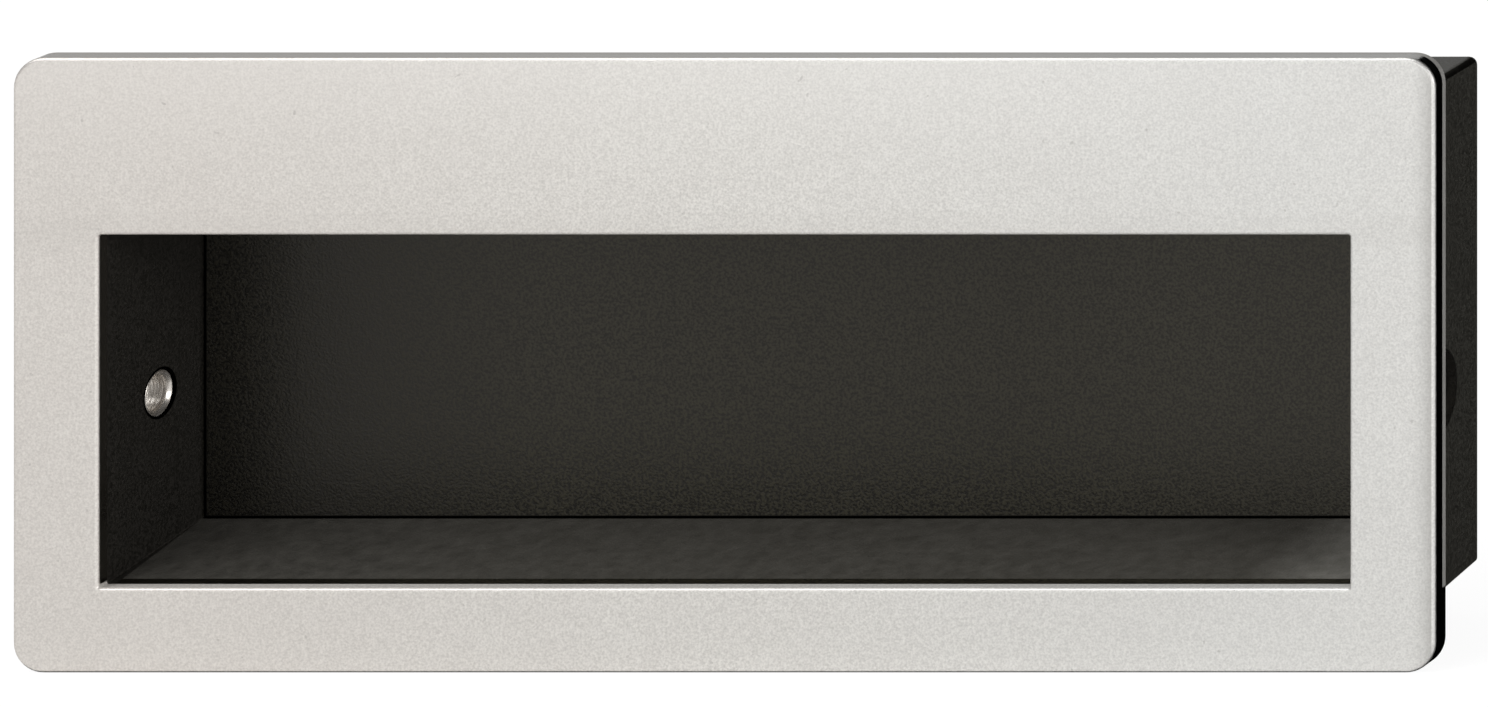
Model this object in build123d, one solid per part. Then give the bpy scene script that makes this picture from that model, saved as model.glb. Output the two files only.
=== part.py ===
from build123d import *
import os

# Recessed pull handle, let into a pocket milled in a door or drawer front. Millimetres.
# +X runs along the handle, +Z is up and the front faces -Y. The origin is the centre of the
# trim plate's back, which is the plane that seats on the panel.

# Trim plate, a zinc die-casting with a hollow back.
PLATE_LENGTH = 130.0
PLATE_HEIGHT = 56.2
PLATE_THICKNESS = 2.4  # front face to panel, measured at the rim
PLATE_WEB = 1.35  # the wall left in front of the hollow
PLATE_CORNER_R = 2.75
FRONT_EDGE_R = 0.35
BACK_EDGE_R = 0.25
RIM_WIDTH = 1.8  # the ring round the hollow that bears on the panel
RIM_CORNER_R = 1.2

# The opening sits low, so that the wide margin above it hides the space for the fingertips.
SIDE_MARGIN = 7.85
TOP_MARGIN = 16.2
BOTTOM_MARGIN = 7.75
OPENING_CORNER_R = 0.2
OPENING_EDGE_R = 0.35

# Grip lip: the cast bead behind the opening's top edge that the fingertips pull on.
LIP_DEPTH = 1.6  # from the web's back
LIP_HEIGHT = 2.4
LIP_EDGE_R = 0.75
LIP_END_GAP = 0.6

# Pocket, a black moulding. Its end walls are thick because they carry the fixing screws.
POCKET_DEPTH = 15.2  # panel face to the pocket's back
END_WALL = 4.55
TOP_WALL = 3.0
BOTTOM_WALL = 3.6
REAR_WALL = 2.4
PLATE_TOP_OVERHANG = 4.1  # how far the plate's top edge stands above the pocket's roof
INNER_END_DRAFT = 0.056  # drafts are millimetres of slope for each millimetre of depth
OUTER_END_DRAFT = 0.028
OUTER_BOTTOM_DRAFT = 0.05
FLOOR_SLOPE = 0.144  # the floor rises towards the back
INNER_CORNER_R = 0.12
OUTER_CORNER_R = 0.35
ROOF_CORNER_R = 0.8  # on the roof's two long corners, from front to back

# Flange round the pocket's mouth. It lies in the plate's hollow.
FLANGE_GAP = 0.15  # round its edge
FLANGE_SINK = 0.1  # below the rim, so that the rim bears on the panel first

# Core-outs: slots moulded in from the back, which keep the thick walls from sinking.
CORE_SKIN = 1.45  # plastic left on each side of a slot
CORE_RIB = 1.8  # plastic left between two slots, and round the fixing hole's recess
CORE_TO_PEG = 1.0  # plastic left in front of a slot, up to the peg holes
FLOOR_CORES = 6
UPPER_END_CORES = 2  # in each end wall, above the fixing hole; one more lies below it

# Fixing holes, one in each end wall, each lined with a flanged metal bush.
HOLE_DEPTH = 6.4  # from the panel face
HOLE_BELOW_MIDDLE = 0.775  # of the opening
BUSH_BORE = 3.4  # clears a 3 mm wood screw
BUSH_WALL = 0.4
BUSH_FLANGE = 7.0
BUSH_FLANGE_THICKNESS = 0.8
BUSH_CHAMFER = 0.3
BUSH_SINK = 0.1  # the bush's inner end lies this far inside the wall's face
BUSH_FIT = 0.05  # radial
RECESS_DIAMETER = 7.6
RECESS_DEPTH = 1.8

# Cast pegs on the plate, pressed into blind holes in the pocket's rim.
PEG_DIAMETER = 1.6
PEG_LENGTH = 4.4  # from the web's back
PEG_TIP = 0.4
PEG_FIT = 0.05  # radial
PEG_HOLE_SPARE = 0.5
LONG_SIDE_PEGS = 3
LONG_SIDE_PEG_INSET = 9.2  # the outer ones, from the opening's end
END_PEG_INSET = 5.5  # from the opening's lower edge, and from the pocket's ceiling

FRONT_Y = -PLATE_THICKNESS
WEB_Y = FRONT_Y + PLATE_WEB
OPENING_HALF = PLATE_LENGTH / 2 - SIDE_MARGIN
OPENING_TOP = PLATE_HEIGHT / 2 - TOP_MARGIN
OPENING_BOTTOM = -PLATE_HEIGHT / 2 + BOTTOM_MARGIN
ROOF = PLATE_HEIGHT / 2 - PLATE_TOP_OVERHANG
CEILING = ROOF - TOP_WALL
CAVITY_BACK = POCKET_DEPTH - REAR_WALL
PEG_HOLE_END = WEB_Y + PEG_LENGTH + PEG_HOLE_SPARE
CORE_FRONT = PEG_HOLE_END + CORE_TO_PEG
HOLE_Z = (OPENING_TOP + OPENING_BOTTOM) / 2 - HOLE_BELOW_MIDDLE
BUSH_DIAMETER = BUSH_BORE + 2 * BUSH_WALL
CUT = 1.0  # how far a cutting solid runs past the face it opens


def inner_end(y):
    """Half the cavity's length at a depth."""
    return OPENING_HALF - INNER_END_DRAFT * (y - WEB_Y)


def outer_end(y):
    """Half the pocket's outside length at a depth."""
    return OPENING_HALF + END_WALL - OUTER_END_DRAFT * y


def floor_at(y):
    """Height of the sloped floor at a depth."""
    return OPENING_BOTTOM + FLOOR_SLOPE * (y - WEB_Y)


def underside_at(y):
    """Height of the pocket's underside at a depth."""
    return OPENING_BOTTOM - BOTTOM_WALL + OUTER_BOTTOM_DRAFT * y


def section(y, x0, x1, z0, z1):
    """An upright rectangle at a depth, facing the front."""
    return Plane.XZ.offset(-y) * Pos((x0 + x1) / 2, (z0 + z1) / 2) * Rectangle(x1 - x0, z1 - z0)


def rounded_slab(y0, y1, length, height, radius, z=0.0):
    """A plate with rounded corners that stands between two depths."""
    face = Plane.XZ.offset(-y1) * Pos(0, z) * RectangleRounded(length, height, radius)
    return extrude(face, y1 - y0)


def rod_y(diameter, y0, y1, x, z):
    """A round rod along Y."""
    return extrude(Plane.XZ.offset(-y1) * Pos(x, z) * Circle(diameter / 2), y1 - y0)


def rod_x(diameter, x0, x1):
    """A round rod along X, on the fixing hole's axis."""
    plane = Plane.YZ.offset(x0) * Pos(HOLE_DEPTH, HOLE_Z)
    return extrude(plane * Circle(diameter / 2), x1 - x0)


def peg_places():
    """Where the pegs stand, in the middle of the pocket's rim."""
    upper = (ROOF + CEILING) / 2
    lower = (OPENING_BOTTOM + underside_at(0)) / 2
    end = (OPENING_HALF + outer_end(0)) / 2
    reach = OPENING_HALF - LONG_SIDE_PEG_INSET
    pitch = 2 * reach / (LONG_SIDE_PEGS - 1)
    across = [i * pitch - reach for i in range(LONG_SIDE_PEGS)]
    heights = (OPENING_BOTTOM + END_PEG_INSET, CEILING - END_PEG_INSET)
    long_sides = [(x, z) for x in across for z in (lower, upper)]
    ends = [(side * end, z) for side in (-1, 1) for z in heights]
    return long_sides + ends


def opening_tool(y0, y1):
    """The opening's outline between two depths."""
    height = OPENING_TOP - OPENING_BOTTOM
    middle = (OPENING_TOP + OPENING_BOTTOM) / 2
    return rounded_slab(y0, y1, 2 * OPENING_HALF, height, OPENING_CORNER_R, middle)


def grip_lip():
    """The bead behind the opening's top edge, rounded where fingers meet it."""
    profile = Plane.YZ.offset(-OPENING_HALF + LIP_END_GAP) * Pos(
        WEB_Y + LIP_DEPTH / 2, OPENING_TOP + LIP_HEIGHT / 2
    )
    bead = extrude(profile * Rectangle(LIP_DEPTH, LIP_HEIGHT), 2 * (OPENING_HALF - LIP_END_GAP))
    back_edges = bead.faces().sort_by(Axis.Y)[-1].edges().filter_by(Axis.X)
    return fillet(back_edges, LIP_EDGE_R)


def peg(x, z):
    """One cast peg with a chamfered tip."""
    body = rod_y(PEG_DIAMETER, WEB_Y, WEB_Y + PEG_LENGTH, x, z)
    return chamfer(body.faces().sort_by(Axis.Y)[-1].edges(), PEG_TIP)


def trim_plate():
    """The plate: rounded outside, hollow behind, with the opening, the grip lip and the pegs."""
    plate = rounded_slab(FRONT_Y, 0, PLATE_LENGTH, PLATE_HEIGHT, PLATE_CORNER_R)
    plate = fillet(plate.faces().sort_by(Axis.Y)[0].edges(), FRONT_EDGE_R)
    plate = fillet(plate.faces().sort_by(Axis.Y)[-1].edges(), BACK_EDGE_R)
    hollow_length = PLATE_LENGTH - 2 * RIM_WIDTH
    hollow_height = PLATE_HEIGHT - 2 * RIM_WIDTH
    plate -= rounded_slab(WEB_Y, CUT, hollow_length, hollow_height, RIM_CORNER_R)
    plate -= opening_tool(FRONT_Y - CUT, CUT)
    front = plate.faces().sort_by(Axis.Y)[0]
    plate = fillet(front.inner_wires()[0].edges(), OPENING_EDGE_R)
    plate += grip_lip()
    for x, z in peg_places():
        plate += peg(x, z)
    return plate


def pocket_outside():
    """The drafted box behind the plate, with its small outside radii."""
    faces = []
    for y in (WEB_Y, POCKET_DEPTH):
        outline = Rectangle(2 * outer_end(y), ROOF - underside_at(y))
        outline = fillet(outline.vertices().group_by(Axis.Y)[-1], ROOF_CORNER_R)
        faces.append(Plane.XZ.offset(-y) * Pos(0, (ROOF + underside_at(y)) / 2) * outline)
    box = loft(faces, ruled=True)
    back = box.faces().sort_by(Axis.Y)[-1]
    underside = box.faces().sort_by(Axis.Z)[0]
    lower = [e for e in underside.edges() if abs(e.center().X) > OPENING_HALF]
    return fillet(lower + list(back.edges()), OUTER_CORNER_R)


def pocket_cavity():
    """The space for the fingers: flush with the opening below and at the ends, high above it."""
    mouth = WEB_Y - CUT
    faces = [section(y, -inner_end(y), inner_end(y), floor_at(y), CEILING) for y in (mouth, CAVITY_BACK)]
    space = loft(faces, ruled=True)
    front = space.faces().sort_by(Axis.Y)[0]
    inner_edges = [e for e in space.edges() if e not in front.edges()]
    return fillet(inner_edges, INNER_CORNER_R)


def flange():
    """The thin ring that lies in the plate's hollow."""
    length = PLATE_LENGTH - 2 * (RIM_WIDTH + FLANGE_GAP)
    height = PLATE_HEIGHT - 2 * (RIM_WIDTH + FLANGE_GAP)
    return rounded_slab(WEB_Y, -FLANGE_SINK, length, height, RIM_CORNER_R)


def spans(low, high, count):
    """A length shared out into equal slots with a rib between each two."""
    width = (high - low - (count - 1) * CORE_RIB) / count
    starts = [low + i * (width + CORE_RIB) for i in range(count)]
    return [(start, start + width) for start in starts]


def floor_cores():
    """The slots under the sloped floor, open at the back, with ribs left between them."""
    reach = inner_end(POCKET_DEPTH)
    cores = []
    for x0, x1 in spans(-reach, reach, FLOOR_CORES):
        ends = [
            section(y, x0, x1, underside_at(y) + CORE_SKIN, floor_at(y) - CORE_SKIN)
            for y in (CORE_FRONT, POCKET_DEPTH + CUT)
        ]
        cores.append(loft(ends, ruled=True))
    return cores


def end_cores(side):
    """The slots in one end wall, open at the back, which miss the fixing hole."""
    keep_off = RECESS_DIAMETER / 2 + CORE_RIB
    below = spans(floor_at(POCKET_DEPTH) + CORE_SKIN, HOLE_Z - keep_off, 1)
    above = spans(HOLE_Z + keep_off, CEILING - CORE_SKIN, UPPER_END_CORES)
    cores = []
    for low, high in below + above:
        ends = []
        for y in (CORE_FRONT, POCKET_DEPTH + CUT):
            x0, x1 = sorted((side * (inner_end(y) + CORE_SKIN), side * (outer_end(y) - CORE_SKIN)))
            ends.append(section(y, x0, x1, low, high))
        cores.append(loft(ends, ruled=True))
    return cores


def hole_stations():
    """Along +X at the fixing hole: the wall's inner face, the recess's bottom and the outer face."""
    outside = outer_end(HOLE_DEPTH)
    return inner_end(HOLE_DEPTH), outside - RECESS_DEPTH, outside


def fixing_hole(side):
    """The stepped hole through one end wall: a bush bore with a recess outside it."""
    inside, seat, outside = hole_stations()
    bore = rod_x(BUSH_DIAMETER + 2 * BUSH_FIT, inside - CUT, seat + CUT)
    recess = rod_x(RECESS_DIAMETER, seat, outside + CUT)
    tool = bore + recess
    return tool if side > 0 else mirror(tool, Plane.YZ)


def pocket_shell():
    """The pocket: one moulding with its flange, cavity, core-outs, bush seats and peg holes."""
    shell = pocket_outside() + flange() - pocket_cavity()
    for core in floor_cores() + end_cores(-1) + end_cores(1):
        shell -= core
    for side in (-1, 1):
        shell -= fixing_hole(side)
    for x, z in peg_places():
        shell -= rod_y(PEG_DIAMETER + 2 * PEG_FIT, WEB_Y - CUT, PEG_HOLE_END, x, z)
    return shell


def screw_bush(side):
    """A flanged bush pressed in from outside, its inner end just under the wall's face."""
    inside, seat, _ = hole_stations()
    inner_face = inside + BUSH_SINK
    outer_face = seat + BUSH_FLANGE_THICKNESS
    bush = rod_x(BUSH_DIAMETER, inner_face, seat) + rod_x(BUSH_FLANGE, seat, outer_face)
    bush -= rod_x(BUSH_BORE, inner_face - CUT, outer_face + CUT)
    mouths = [bush.faces().sort_by(Axis.X)[i].inner_wires()[0].edges() for i in (0, -1)]
    bush = chamfer(mouths[0] + mouths[1], BUSH_CHAMFER)
    return bush if side > 0 else mirror(bush, Plane.YZ)


PIECES = {
    "trim_plate": trim_plate(),
    "pocket_shell": pocket_shell(),
    "screw_bush_left": screw_bush(-1),
    "screw_bush_right": screw_bush(1),
}

os.makedirs("parts", exist_ok=True)
for name, shape in PIECES.items():
    export_step(shape, f"parts/{name}.step")
    print(name, len(shape.solids()), round(shape.volume, 1))
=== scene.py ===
import math

import bmesh
import bpy
from mathutils import Matrix, Vector


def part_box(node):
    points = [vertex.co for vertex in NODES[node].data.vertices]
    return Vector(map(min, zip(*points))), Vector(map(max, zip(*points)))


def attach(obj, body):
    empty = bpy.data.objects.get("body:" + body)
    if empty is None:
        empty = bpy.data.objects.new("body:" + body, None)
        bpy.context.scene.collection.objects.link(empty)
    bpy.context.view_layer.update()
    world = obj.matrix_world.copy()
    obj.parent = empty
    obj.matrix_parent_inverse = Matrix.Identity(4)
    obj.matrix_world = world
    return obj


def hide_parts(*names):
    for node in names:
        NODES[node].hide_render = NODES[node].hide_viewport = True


# A recessed pull handle: a satin nickel trim plate, the black moulded pocket behind it and a
# bright bush in each end wall. Metres; the front faces -Y and +Z is up.

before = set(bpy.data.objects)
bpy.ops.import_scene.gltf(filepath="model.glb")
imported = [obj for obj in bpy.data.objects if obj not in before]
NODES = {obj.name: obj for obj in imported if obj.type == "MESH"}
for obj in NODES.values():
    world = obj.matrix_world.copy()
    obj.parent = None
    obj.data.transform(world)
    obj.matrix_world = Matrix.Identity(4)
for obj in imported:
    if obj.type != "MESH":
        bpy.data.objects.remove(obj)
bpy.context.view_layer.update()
PLATE_LOW, PLATE_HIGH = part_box("trim_plate")
POCKET_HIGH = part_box("pocket_shell")[1]

# The opening's edges, from the plate's margins.
SIDE_MARGIN = 0.00785
TOP_MARGIN = 0.0162
BOTTOM_MARGIN = 0.00775
OPENING_HALF = PLATE_HIGH.x - SIDE_MARGIN
OPENING_HIGH = PLATE_HIGH.z - TOP_MARGIN
OPENING_LOW = PLATE_LOW.z + BOTTOM_MARGIN

# The pocket's cavity: half its length at the back, its depth and how high its sloped floor ends.
CAVITY_HALF = 0.05637
CAVITY_BACK = 0.0128
FLOOR_BACK = OPENING_LOW + 0.0020
# Surfaces nearer than these belong to the cavity, and those beyond to the pocket's outside.
MID_WALL_HALF = 0.0598
MID_WALL_BACK = 0.0138
MID_WALL_HIGH = 0.0222

# Round each bush: the radius of the dark line of painted shade at its mouth, and that of the recess
# outside, which is also darkened with painted shade. Then how far before and behind the end wall's
# inner face the two of them start.
MOUTH_LINE = 0.00236
RECESS = 0.00395
WALL_REACH = 0.002


class Port:
    """A socket that gives a value. Sums written with it add Math nodes to its tree."""

    def __init__(self, shop, socket):
        self.shop = shop
        self.socket = socket

    def __add__(self, other):
        return self.shop.math("ADD", self, other)

    def __radd__(self, other):
        return self.shop.math("ADD", other, self)

    def __sub__(self, other):
        return self.shop.math("SUBTRACT", self, other)

    def __rsub__(self, other):
        return self.shop.math("SUBTRACT", other, self)

    def __mul__(self, other):
        return self.shop.math("MULTIPLY", self, other)

    def __rmul__(self, other):
        return self.shop.math("MULTIPLY", other, self)

    def __truediv__(self, other):
        return self.shop.math("DIVIDE", self, other)

    def __rtruediv__(self, other):
        return self.shop.math("DIVIDE", other, self)


class Shop:
    """Builds one tree of nodes, for a finish or for a turned part."""

    def __init__(self, tree):
        self.tree = tree
        tree.nodes.clear()

    def node(self, kind, settings=None, values=None, out=0):
        """One node: its settings are set first, then its sockets' values and links."""
        made = self.tree.nodes.new(kind)
        for name, setting in (settings or {}).items():
            if name == "stops":
                for stop, (position, colour) in zip(made.color_ramp.elements, setting):
                    stop.position = position
                    stop.color = colour
            else:
                setattr(made, name, setting)
        for name, value in (values or {}).items():
            if isinstance(value, Port):
                self.tree.links.new(value.socket, made.inputs[name])
            else:
                made.inputs[name].default_value = value
        return Port(self, made.outputs[out]) if made.outputs else None

    def math(self, operation, *values):
        return self.node("ShaderNodeMath", {"operation": operation}, dict(enumerate(values)))

    def vector(self, operation, first, second, out=0):
        values = {0: first, 1: second}
        return self.node("ShaderNodeVectorMath", {"operation": operation}, values, out)

    def mix(self, factor, *colours):
        """A colour between two, each a Port or three sRGB steps of 0 to 255."""
        first, second = [c if isinstance(c, Port) else linear(*c) for c in colours]
        values = {0: factor, 6: first, 7: second}
        return self.node("ShaderNodeMix", {"data_type": "RGBA"}, values, 2)

    def layers(self, colour, *coats):
        """A colour with coats over it. Each is a mask, a share from 0 to 1 and a colour."""
        for mask, share, shade in coats:
            colour = self.mix(mask * share, colour, shade)
        return colour

    def place(self):
        """The piece's own coordinates, in metres."""
        return self.node("ShaderNodeTexCoord", out="Object")

    def part(self, vector, axis):
        """One coordinate of a vector."""
        return self.node("ShaderNodeSeparateXYZ", None, {"Vector": vector}, axis)

    def clamp(self, value):
        return self.node("ShaderNodeClamp", None, {"Value": value})

    def most(self, first, second):
        return self.math("MAXIMUM", first, second)

    def rise(self, value, start, end):
        """0 up to start, 1 from end on, and a straight slope between them, in either direction."""
        return self.clamp((value - start) / (end - start))

    def noise(self, scale, detail=2.0, place=None, rough=0.5):
        values = {
            "Vector": place or self.place(),
            "Scale": scale,
            "Detail": detail,
            "Roughness": rough,
        }
        return self.node("ShaderNodeTexNoise", None, values)

    def ramp(self, value, low, high):
        """0 below low and 1 above high."""
        stops = [(low, (0.0, 0.0, 0.0, 1.0)), (high, (1.0, 1.0, 1.0, 1.0))]
        return self.node("ShaderNodeValToRGB", {"stops": stops}, {"Fac": value})

    def bump(self, height, distance, below=None):
        values = {"Height": height, "Distance": distance, "Strength": 1.0}
        if below:
            values["Normal"] = below
        return self.node("ShaderNodeBump", None, values)

    def window(self, x=(None, None), y=(None, None), z=(None, None), soft=0.0001):
        """1 where the piece's coordinates lie within the limits, fading over a soft edge."""
        place = self.place()
        inside = None
        for axis, (low, high) in enumerate((x, y, z)):
            along = self.part(place, axis)
            for sign, edge in ((1.0, low), (-1.0, high)):
                if edge is not None:
                    step = self.clamp((along - edge) * (sign / soft) + 0.5)
                    inside = step if inside is None else inside * step
        return inside

    def round_bush(self, radius, from_middle):
        """1 within a radius of the bushes' axis, beyond a distance from the middle at both ends."""
        soft = 0.00008
        low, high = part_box("screw_bush_left")
        axis = (low + high) / 2
        place = self.place()
        off = {"Y": self.part(place, 1) - axis.y, "Z": self.part(place, 2) - axis.z}
        off = self.node("ShaderNodeCombineXYZ", None, off)
        away = self.vector("LENGTH", off, (0, 0, 0), "Value")
        near_axis = self.clamp((radius - away) / soft + 0.5)
        return near_axis * (1 - self.window(x=(-from_middle, from_middle)))


def linear(red, green, blue):
    """A colour given in sRGB steps of 0 to 255, as Blender's linear values."""
    steps = [c / 255 for c in (red, green, blue)]
    levels = [c / 12.92 if c <= 0.04045 else ((c + 0.055) / 1.055) ** 2.4 for c in steps]
    return (*levels, 1.0)


def material(name):
    made = bpy.data.materials.new(name)
    made.use_nodes = True
    return made, Shop(made.node_tree)


def surface(shop, values):
    shader = shop.node("ShaderNodeBsdfPrincipled", None, values)
    shop.node("ShaderNodeOutputMaterial", None, {"Surface": shader})


def satin_nickel():
    """Zinc, pearl-blasted and plated. The plate's narrow sides are polished, the opening's sill is
    matt, and a band round the rear rim is as cast, but for the foot of its right end. The tones
    that follow the height and the length are a room's light, and stay with the plate."""
    made, shop = material("satin_nickel")
    place = shop.place()
    along = shop.part(place, 0)

    front_radius = 0.0003
    side_front = PLATE_LOW.y + front_radius
    sill_front, sill_top = side_front - 0.0001, OPENING_LOW + 0.0003
    over = 0.0002
    reach = (-OPENING_HALF - over, OPENING_HALF + over)
    low, high = OPENING_LOW - over, OPENING_HIGH + over
    opening = shop.window(reach, (side_front, None), (low, high))
    opening_wall_shade = shop.window(reach, (side_front, None), (sill_top, high))
    sill = shop.window(reach, (sill_front, None), (low, sill_top))
    sides = shop.window(y=(side_front, None))
    foot_left, foot_top = PLATE_HIGH.x - 0.0028, -0.0207
    foot = shop.window(x=(foot_left, None), z=(None, foot_top), soft=0.0002)
    rear_band = (-0.00085, -0.00015)
    as_cast = shop.window(y=rear_band) * (1 - opening) * (1 - foot)
    matt = shop.most(sill, as_cast * 0.7)
    polished = sides * (1 - as_cast) * (1 - sill)
    blasted = 1 - polished

    peel = shop.noise(2600)
    grain = shop.ramp(shop.noise(4700, rough=0.6), 0.3, 0.7)
    cloud = shop.noise(160)
    speck = shop.ramp(shop.noise(1900, detail=0.0), 0.86, 0.89)

    edge = PLATE_HIGH.x
    right_rim = shop.rise(along, edge - 0.0025, edge - 0.0003)
    right_rim = right_rim * shop.rise(along, edge - 0.00028, edge - 0.00038)
    towards_left = shop.rise(along, 0.0, -0.05)
    towards_right = shop.rise(along, 0.0, 0.05)
    up = shop.rise(shop.part(place, 2), OPENING_HIGH, PLATE_HIGH.z)
    top_light = up * up * (1 - shop.rise(along, 0.02, 0.06) * 0.75)
    over_opening = shop.window(z=(OPENING_HIGH, OPENING_HIGH + 0.0005), soft=0.004)
    colour = shop.layers(
        shop.mix(cloud, (236, 233, 228), (243, 241, 236)),
        (grain * blasted, 0.76, (199, 196, 191)),
        (top_light * blasted, 0.38, (252, 250, 246)),
        (towards_left, 0.27, (222, 211, 203)),
        (towards_right, 0.2, (226, 231, 233)),
        (over_opening * blasted, 0.3, (190, 186, 180)),
        (right_rim * right_rim * blasted, 0.5, (150, 148, 144)),
        (speck * blasted, 0.3, (160, 156, 150)),
        (as_cast, 0.6, (150, 147, 141)),
        # The opening's walls above the sill are darkened: painted shade along the opening's edge.
        (opening_wall_shade, 1.0, (158, 154, 148)),
    )
    values = {
        "Base Color": colour,
        "Metallic": 1 - matt * 0.85,
        "Roughness": 0.4 + peel * 0.1 + matt * 0.15 - polished * 0.3,
        "Normal": shop.bump(grain, 0.000005, shop.bump(peel, 0.000008)),
    }
    surface(shop, values)
    return made


def black_moulding():
    """Black moulded plastic, spark-eroded. The sloped floor is coarser, and it is painted greyer to
    stand for light that falls on it from above. It is painted lighter still towards its right end,
    as a reflection.
    The outside and the end walls are lighter. Thin dark lines of painted shade run along the
    cavity's inner corners, round the bushes' mouths and along the roof's two corners. The tones
    that follow the length are a room's light, and stay with the pocket."""
    made, shop = material("black_moulding")
    place = shop.place()
    along = shop.part(place, 0)
    end, back = CAVITY_HALF, CAVITY_BACK

    inside = shop.window(
        (-MID_WALL_HALF, MID_WALL_HALF),
        (None, MID_WALL_BACK),
        (-MID_WALL_HIGH, MID_WALL_HIGH),
        soft=0.0002,
    )
    sloped_floor = shop.window((-end, end), (0.0, back - 0.0001), (None, FLOOR_BACK + 0.0001))
    past_end = end + 0.00003
    end_wall = (1 - shop.window(x=(-past_end, past_end), soft=0.00004)) * inside
    recess = shop.round_bush(RECESS, end + WALL_REACH) * (1 - inside)

    # Thin dark lines of painted shade: along the cavity's inner corners, round the bushes' mouths
    # and along the roof's two rounded corners.
    line_end, line_soft = end - 0.00014, 0.00012
    within_ends = shop.window(x=(-line_end, line_end), soft=line_soft)
    end_crease_shade = shop.window(y=(back - 0.0002, None)) * (1 - within_ends)
    floor_line = ((-end, end), (back - 0.00045, None), (None, FLOOR_BACK + 0.00008))
    floor_crease_shade = shop.window(*floor_line, soft=line_soft)
    bush_mouth_shade = shop.round_bush(MOUTH_LINE, end - WALL_REACH)
    # Each rounded roof corner is farthest out in this sum, which allows for the outside's draft.
    draft, corner_line, corner_top = 0.028, 0.08513, 0.08517
    outwards = shop.math("ABSOLUTE", along) + shop.part(place, 1) * draft + shop.part(place, 2)
    roof_corner_shade = shop.rise(outwards, corner_line, corner_top) * (1 - inside)
    shade_lines = shop.most(shop.most(end_crease_shade, floor_crease_shade), bush_mouth_shade) * inside
    shade_lines = shop.most(shade_lines, roof_corner_shade * 0.75)

    grain = shop.ramp(shop.noise(4000), 0.38, 0.62)
    mottle = shop.ramp(shop.noise(650, detail=3.0, rough=0.65), 0.3, 0.7)
    left = shop.rise(along, -0.024, -0.044)
    right = shop.rise(along, 0.02, 0.05)
    glare = shop.window(x=(end - 0.002, None), soft=0.016)
    dark = shop.mix(right, (2, 2, 2), (22, 21, 17))
    light = shop.mix(right, shop.mix(left, (43, 41, 31), (22, 20, 13)), (54, 52, 43))
    colour = shop.layers(
        shop.mix(grain, dark, light),
        (end_wall, 1.0, shop.mix(grain, (28, 27, 24), (47, 45, 42))),
        (1 - inside, 1.0, shop.mix(grain, (46, 45, 41), (66, 65, 60))),
        # The recess round each bush outside is darkened: painted shade.
        (recess, 0.8, (12, 12, 11)),
        # The sloped floor is painted greyer to stand for light that falls on it from above. It is
        # painted lighter still towards the right end (glare), as a reflection.
        (sloped_floor, 0.55 + mottle * 0.4, shop.mix(glare, (87, 85, 80), (178, 176, 169))),
        # The painted shade lines, in black.
        (shade_lines, 1.0, (2, 2, 2)),
    )
    values = {
        "Base Color": colour,
        # The painted shade lines are black metal, so that they show no sheen.
        "Metallic": shade_lines,
        "Roughness": 0.3 + grain * 0.14 + shade_lines * 0.4,
        "Specular IOR Level": 0.4,
        "Specular Tint": (1.0, 0.95, 0.86, 1.0),
        "Normal": shop.bump(grain, 0.00001, shop.bump(mottle, 0.00001)),
    }
    surface(shop, values)
    return made


def bright_turned():
    """Bright plated steel off the lathe, with tool marks that run round it."""
    made, shop = material("bright_turned")
    fine_along_axis = (5000.0, 450.0, 450.0)
    streak = shop.noise(1.0, place=shop.vector("MULTIPLY", shop.place(), fine_along_axis))
    streak = shop.ramp(streak, 0.35, 0.65)
    values = {
        "Base Color": shop.mix(streak, (232, 227, 220), (150, 142, 133)),
        "Metallic": 0.75,
        "Roughness": 0.22 + streak * 0.2,
        "Normal": shop.bump(streak, 0.000006),
    }
    surface(shop, values)
    return made


# The bushes' radii and lengths.
BUSH_BORE = 0.0017
BUSH_OUTSIDE = 0.0021
BUSH_FLANGE = 0.0035
BUSH_FLANGE_THICKNESS = 0.0008
BUSH_MOUTH = 0.0003
BUSH_EDGE = 0.00005

LATHE_SIZES = {
    "Points Along Section": 420,
    "Facets Round": 120,
    "Bore Radius": BUSH_BORE,
    "Ring Pitch": 0.00012,
    "Ring Depth": 0.000008,
    "Relief Start": 0.0016,
    "Relief Width": 0.0005,
    "Relief Depth": 0.00012,
}


def bush_section(length):
    """The bush's cut section: distance from its inner end, and radius."""
    seat = length - BUSH_FLANGE_THICKNESS
    return [
        (0.0, BUSH_BORE + BUSH_MOUTH),
        (BUSH_MOUTH, BUSH_BORE),
        (length - BUSH_MOUTH, BUSH_BORE),
        (length, BUSH_BORE + BUSH_MOUTH),
        (length, BUSH_FLANGE - BUSH_EDGE),
        (length - BUSH_EDGE, BUSH_FLANGE),
        (seat + BUSH_EDGE, BUSH_FLANGE),
        (seat, BUSH_FLANGE - BUSH_EDGE),
        (seat, BUSH_OUTSIDE),
        (BUSH_EDGE, BUSH_OUTSIDE),
        (0.0, BUSH_OUTSIDE - BUSH_EDGE),
    ]


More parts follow.
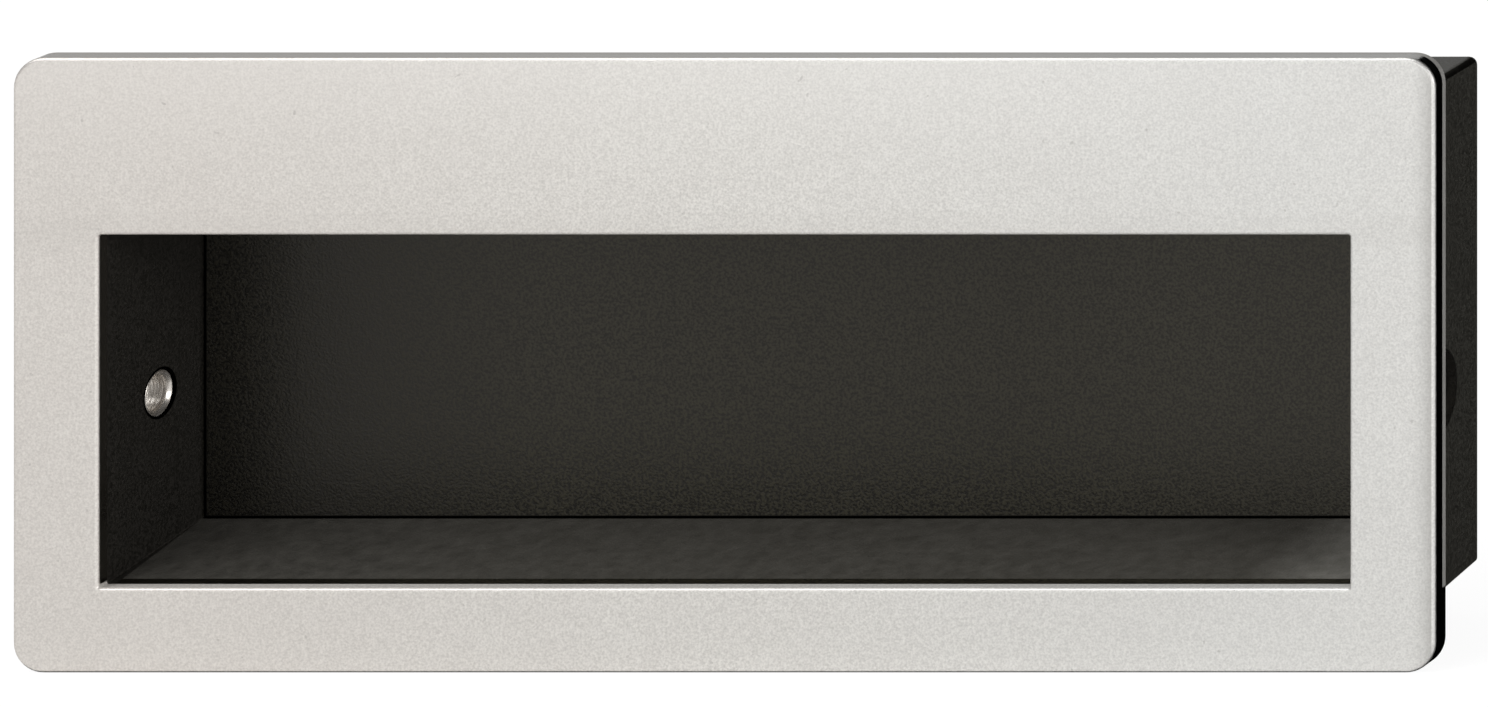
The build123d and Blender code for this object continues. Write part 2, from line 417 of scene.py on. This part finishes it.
def lathe_tree():
    """A tree that turns a closed section round the X axis and cuts fine rings in its bore."""
    tree = bpy.data.node_groups.new("lathe", "GeometryNodeTree")
    shop = Shop(tree)
    kinds = {
        "Geometry": "NodeSocketGeometry",
        "Points Along Section": "NodeSocketInt",
        "Facets Round": "NodeSocketInt",
        "Bore Radius": "NodeSocketFloat",
        "Ring Pitch": "NodeSocketFloat",
        "Ring Depth": "NodeSocketFloat",
        "Relief Start": "NodeSocketFloat",
        "Relief Width": "NodeSocketFloat",
        "Relief Depth": "NodeSocketFloat",
        "Finish": "NodeSocketMaterial",
    }
    for name, kind in kinds.items():
        tree.interface.new_socket(name=name, in_out="INPUT", socket_type=kind)
    tree.interface.new_socket(name="Geometry", in_out="OUTPUT", socket_type="NodeSocketGeometry")
    given = tree.nodes.new("NodeGroupInput")
    ask = {name: Port(shop, given.outputs[name]) for name in kinds}

    section = shop.node("GeometryNodeMeshToCurve", None, {"Mesh": ask["Geometry"]})
    sheet_values = {
        "Size X": 1.0,
        "Size Y": 1.0,
        "Vertices X": ask["Facets Round"] + 1,
        "Vertices Y": ask["Points Along Section"] + 1,
    }
    sheet = shop.node("GeometryNodeMeshGrid", None, sheet_values)
    spot = shop.node("GeometryNodeInputPosition")
    turn = (shop.part(spot, 0) + 0.5) * (2 * math.pi)
    sampling = {"Curves": section, "Factor": shop.part(spot, 1) + 0.5}
    sampled = shop.node("GeometryNodeSampleCurve", {"mode": "FACTOR"}, sampling, "Position")
    axial = shop.part(sampled, 0)
    radius = shop.part(sampled, 1)

    bore_slack, relief_slope = 0.000005, 0.00005
    in_bore = shop.clamp((ask["Bore Radius"] - radius) * (1 / bore_slack) + 1.5)
    wave = shop.math("SINE", axial * (2 * math.pi) / ask["Ring Pitch"])
    rings = (wave * 0.5 + 0.5) * ask["Ring Depth"]
    past_start = axial - ask["Relief Start"]
    begun = shop.clamp(past_start * (1 / relief_slope))
    ended = shop.clamp((past_start - ask["Relief Width"]) * (1 / relief_slope))
    relief = begun * (1 - ended) * ask["Relief Depth"]
    cut = radius + in_bore * (rings + relief)
    spin = {"X": axial, "Y": cut * shop.math("COSINE", turn), "Z": cut * shop.math("SINE", turn)}
    turned = shop.node("ShaderNodeCombineXYZ", None, spin)

    body = shop.node("GeometryNodeSetPosition", None, {"Geometry": sheet, "Position": turned})
    merging = {"Geometry": body, "Distance": 0.0000005}
    body = shop.node("GeometryNodeMergeByDistance", None, merging)
    body = shop.node("GeometryNodeRealizeInstances", None, {"Geometry": body})
    finishing = {"Geometry": body, "Material": ask["Finish"]}
    body = shop.node("GeometryNodeSetMaterial", None, finishing)
    shop.node("NodeGroupOutput", None, {"Geometry": body})
    return tree


def turned_bush(side, tree, finish):
    """One bush, turned from its section and set in its end wall: side 1 is right, -1 is left."""
    name = "screw_bush_right" if side > 0 else "screw_bush_left"
    low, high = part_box(name)
    outline = bush_section(high.x - low.x)
    count = len(outline)
    loop = [(i, (i + 1) % count) for i in range(count)]
    data = bpy.data.meshes.new(name + "_section")
    data.from_pydata([(x, r, 0.0) for x, r in outline], loop, [])
    blank = bpy.data.objects.new(name + "_section", data)
    bpy.context.scene.collection.objects.link(blank)
    modifier = blank.modifiers.new("lathe", "NODES")
    modifier.node_group = tree
    sizes = {**LATHE_SIZES, "Finish": finish}
    for item in tree.interface.items_tree:
        if item.in_out == "INPUT" and item.name in sizes:
            modifier[item.identifier] = sizes[item.name]
    graph = bpy.context.evaluated_depsgraph_get()
    mesh = bpy.data.meshes.new_from_object(blank.evaluated_get(graph))
    bpy.data.objects.remove(blank)

    start = low.x if side > 0 else high.x
    middle = (low + high) / 2
    for vertex in mesh.vertices:
        x, y, z = vertex.co
        vertex.co = (start + side * x, middle.y + y, middle.z + z)
    settle(mesh)
    made = bpy.data.objects.new("turned_" + name, mesh)
    bpy.context.scene.collection.objects.link(made)
    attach(made, "root")
    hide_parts(name)


def settle(mesh):
    """Turns every face outward and shades the mesh smooth, but for its corners."""
    sharpest = math.radians(25)
    work = bmesh.new()
    work.from_mesh(mesh)
    bmesh.ops.recalc_face_normals(work, faces=work.faces)
    for face in work.faces:
        face.smooth = True
    for edge in work.edges:
        edge.smooth = len(edge.link_faces) < 2 or edge.calc_face_angle() < sharpest
    work.to_mesh(mesh)
    work.free()


def dress(node, finish):
    for slot in NODES[node].material_slots:
        slot.material = finish


def camera():
    """A view camera. Its back is parallel to the plate, and its lens is high and to the right."""
    eye = Vector((0.397, PLATE_LOW.y - 0.75, 0.213))
    middle = Vector((0.001868, PLATE_LOW.y, 0.001124))
    width_in_view = 0.13595
    sensor = 36
    back = (eye - middle).normalized()
    data = bpy.data.cameras.new("view_camera")
    data.sensor_width = sensor
    data.lens = sensor * (eye - middle).length / width_in_view
    data.clip_start = 0.01
    data.clip_end = 20
    made = bpy.data.objects.new("view_camera", data)
    stand = bpy.data.objects.new("camera_stand", None)
    for piece in (stand, made):
        bpy.context.scene.collection.objects.link(piece)
    made.parent = stand
    made.matrix_parent_inverse = Matrix(
        (
            (1, 0, back.x, eye.x),
            (0, 0, back.y, eye.y),
            (0, 1, back.z, eye.z),
            (0, 0, 0, 1),
        )
    )
    bpy.context.scene.camera = made


def stage_plane(name, corners, paint):
    """A flat piece of the studio, which isn't part of the handle."""
    data = bpy.data.meshes.new(name)
    data.from_pydata(corners, [], [(0, 1, 2, 3)])
    data.materials.append(paint)
    made = bpy.data.objects.new(name, data)
    bpy.context.scene.collection.objects.link(made)
    return made


def lying(left, right, front, back, level):
    """The corners of a level rectangle."""
    return [(left, front, level), (right, front, level), (right, back, level), (left, back, level)]


def standing(near, far, foot, top):
    """The corners of an upright rectangle over the line between two points on the floor."""
    return [(*near, foot), (*far, foot), (*far, top), (*near, top)]


FLOOR_REACH = 6.0
FLOOR_GLOW = 1.15
CAMERA_SHARE = 0.8
GLOSS_SHARE = 0.31


def floor():
    """The pale floor that the handle stands on. Part of it glows for the camera, so that it is
    white and still takes a shadow, and less of it for reflections."""
    paint, shop = material("pale_floor")
    camera_ray = shop.node("ShaderNodeLightPath", out="Is Camera Ray")
    gloss_ray = shop.node("ShaderNodeLightPath", out="Is Glossy Ray")
    matt = shop.node("ShaderNodeBsdfDiffuse", None, {"Color": (0.8, 0.8, 0.8, 1)})
    glow = shop.node("ShaderNodeEmission", None, {"Color": (1, 1, 1, 1), "Strength": FLOOR_GLOW})
    share = camera_ray * CAMERA_SHARE + gloss_ray * GLOSS_SHARE
    both = shop.node("ShaderNodeMixShader", None, {0: share, 1: matt, 2: glow})
    shop.node("ShaderNodeOutputMaterial", None, {"Surface": both})
    reach = FLOOR_REACH
    stage_plane("floor", lying(-reach, reach, -reach, reach, PLATE_LOW.z), paint)


def dark_cards():
    """Black cards that only reflections find. They keep the right side and the bottom edge dark."""
    paint, shop = material("black_card")
    black = shop.node("ShaderNodeEmission", None, {"Strength": 0.0})
    shop.node("ShaderNodeOutputMaterial", None, {"Surface": black})
    ground, top, reach = PLATE_LOW.z, 0.4, 0.5
    front, rear = PLATE_LOW.y, 0.03
    side = PLATE_HIGH.x + 0.0005
    corner = PLATE_HIGH.x - 0.0018
    edge = POCKET_HIGH.x - 0.0021
    plate_back = 0.0008
    behind = POCKET_HIGH.y + 0.00003
    over_roof, under_roof = POCKET_HIGH.z + 0.001, POCKET_HIGH.z - 0.00215
    lift = 0.00002
    cards = {
        "card_at_plate_side": standing((side, plate_back), (reach, rear), ground, top),
        "card_at_plate_corner": standing((corner, plate_back), (side, plate_back), over_roof, top),
        "card_at_pocket_side": standing((edge, behind), (reach, 0.05), ground, top),
        "card_at_pocket_top": standing((edge - 0.0006, behind), (edge, behind), under_roof, top),
        "card_under_plate": lying(PLATE_LOW.x, -PLATE_LOW.x, front, 0.0, ground + lift),
        "card_beside_corner": lying(corner, side + 0.03, front, rear, ground + lift * 1.5),
    }
    for name, corners in cards.items():
        card = stage_plane(name, corners, paint)
        card.visible_camera = False
        card.visible_diffuse = False
        card.visible_transmission = False
        card.visible_shadow = False


# Each soft box: its place, its width and height, and its power in watts.
SOFT_BOXES = {
    "above_left": ((-0.5, -0.35, 0.95), (0.9, 0.9), 6.3),
    "front_low": ((-0.35, -1.0, 0.12), (0.7, 0.3), 0.85),
    "front_right": ((0.3, -1.0, 0.14), (0.35, 0.26), 1.6),
    "right_side": ((0.8, -0.5, 0.3), (0.4, 0.5), 2.8),
}
WORLD_LEVEL = 0.39
WORLD_RIGHT_SHARE = 0.5


def soft_box(name, place, size, power):
    """An area lamp that faces the handle."""
    data = bpy.data.lights.new(name, "AREA")
    data.shape = "RECTANGLE"
    data.size, data.size_y = size
    data.energy = power
    made = bpy.data.objects.new(name, data)
    made.location = place
    made.rotation_mode = "QUATERNION"
    made.rotation_quaternion = (-Vector(place)).to_track_quat("-Z", "Y")
    bpy.context.scene.collection.objects.link(made)


def light():
    """The soft boxes, and a world that is white to the camera and otherwise dimmer on the right."""
    world = bpy.data.worlds.new("studio")
    bpy.context.scene.world = world
    world.use_nodes = True
    shop = Shop(world.node_tree)
    camera_ray = shop.node("ShaderNodeLightPath", out="Is Camera Ray")
    towards = shop.node("ShaderNodeTexCoord", out="Generated")
    left = shop.clamp(0.5 - shop.part(towards, 0) * 1.1)
    level = (WORLD_RIGHT_SHARE + left * (1 - WORLD_RIGHT_SHARE)) * WORLD_LEVEL
    soft = shop.node("ShaderNodeBackground", None, {"Color": (1, 1, 1, 1), "Strength": level})
    white = shop.node("ShaderNodeBackground", None, {"Color": (1, 1, 1, 1), "Strength": 1.0})
    both = shop.node("ShaderNodeMixShader", None, {0: camera_ray, 1: soft, 2: white})
    shop.node("ShaderNodeOutputWorld", None, {"Surface": both})
    for name, (place, size, power) in SOFT_BOXES.items():
        soft_box(name, place, size, power)


dress("trim_plate", satin_nickel())
dress("pocket_shell", black_moulding())
steel = bright_turned()
lathe = lathe_tree()
for side in (-1, 1):
    turned_bush(side, lathe, steel)
camera()
floor()
dark_cards()
light()
bpy.context.scene.view_settings.view_transform = "Standard"
